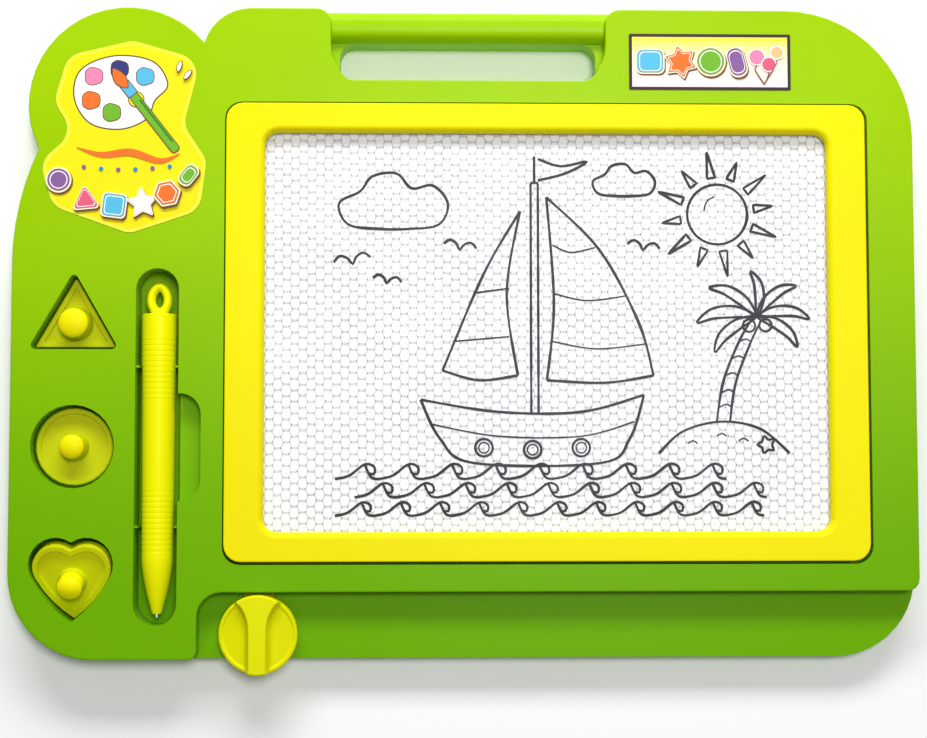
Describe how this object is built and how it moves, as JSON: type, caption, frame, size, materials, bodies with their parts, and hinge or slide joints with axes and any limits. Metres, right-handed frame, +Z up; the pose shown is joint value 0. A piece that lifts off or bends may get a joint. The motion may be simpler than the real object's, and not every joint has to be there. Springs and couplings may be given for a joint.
{
  "type": "magnetic drawing board",
  "caption": "Toy magnetic drawing board with a carrying handle, slide eraser, pen in a slot and shape stamps in recesses.",
  "frame": {"origin": "middle of the footprint, knob overhang included, on the surface the board lies on", "axes": "+X to the right of the screen, +Y towards the handle, +Z up out of the screen"},
  "size_m": [0.3708, 0.2732, 0.0243],
  "materials": {
    "green_plastic": "satin moulded",
    "green_cover": "fine moulded texture",
    "yellow_plastic": "satin moulded",
    "screen_film": "satin film",
    "cell_core": "matte",
    "magnet_rubber": "matte",
    "steel": "zinc plated",
    "label": "printed film"
  },
  "bodies": {
    "board": {"front_housing": "green_plastic", "back_cover": "green_cover", "bezel_frame": "yellow_plastic", "screen_film": "screen_film", "honeycomb_core": "cell_core", "panel_back_film": "screen_film", "sticker_left": "label", "sticker_right": "label", "screw_lobe": "steel", "screw_back_left": "steel", "screw_back_middle": "steel", "screw_back_right": "steel", "screw_right_middle": "steel", "screw_front_right": "steel", "screw_front_left": "steel", "screw_front_middle": "steel", "screw_left_middle": "steel"},
    "eraser": {"eraser_arm": "yellow_plastic", "eraser_magnet_strip": "magnet_rubber", "eraser_knob": "yellow_plastic"},
    "pen": {"pen_barrel": "yellow_plastic", "pen_loop_plug": "yellow_plastic", "pen_magnet": "steel"},
    "triangle_stamp": {"stamp_triangle": "yellow_plastic", "magnet_triangle": "magnet_rubber"},
    "circle_stamp": {"stamp_circle": "yellow_plastic", "magnet_circle": "magnet_rubber"},
    "heart_stamp": {"stamp_heart": "yellow_plastic", "magnet_heart": "magnet_rubber"}
  },
  "joints": [
    {"name": "eraser_slide", "type": "slide", "parent": "board", "child": "eraser", "axis": [1, 0, 0], "range_m": [0, 0.235]},
    {"name": "pen_lift", "type": "slide", "parent": "board", "child": "pen", "axis": [0, 0, 1], "range_m": [0, 0.06]},
    {"name": "triangle_stamp_lift", "type": "slide", "parent": "board", "child": "triangle_stamp", "axis": [0, 0, 1], "range_m": [0, 0.04]},
    {"name": "circle_stamp_lift", "type": "slide", "parent": "board", "child": "circle_stamp", "axis": [0, 0, 1], "range_m": [0, 0.04]},
    {"name": "heart_stamp_lift", "type": "slide", "parent": "board", "child": "heart_stamp", "axis": [0, 0, 1], "range_m": [0, 0.04]}
  ]
}
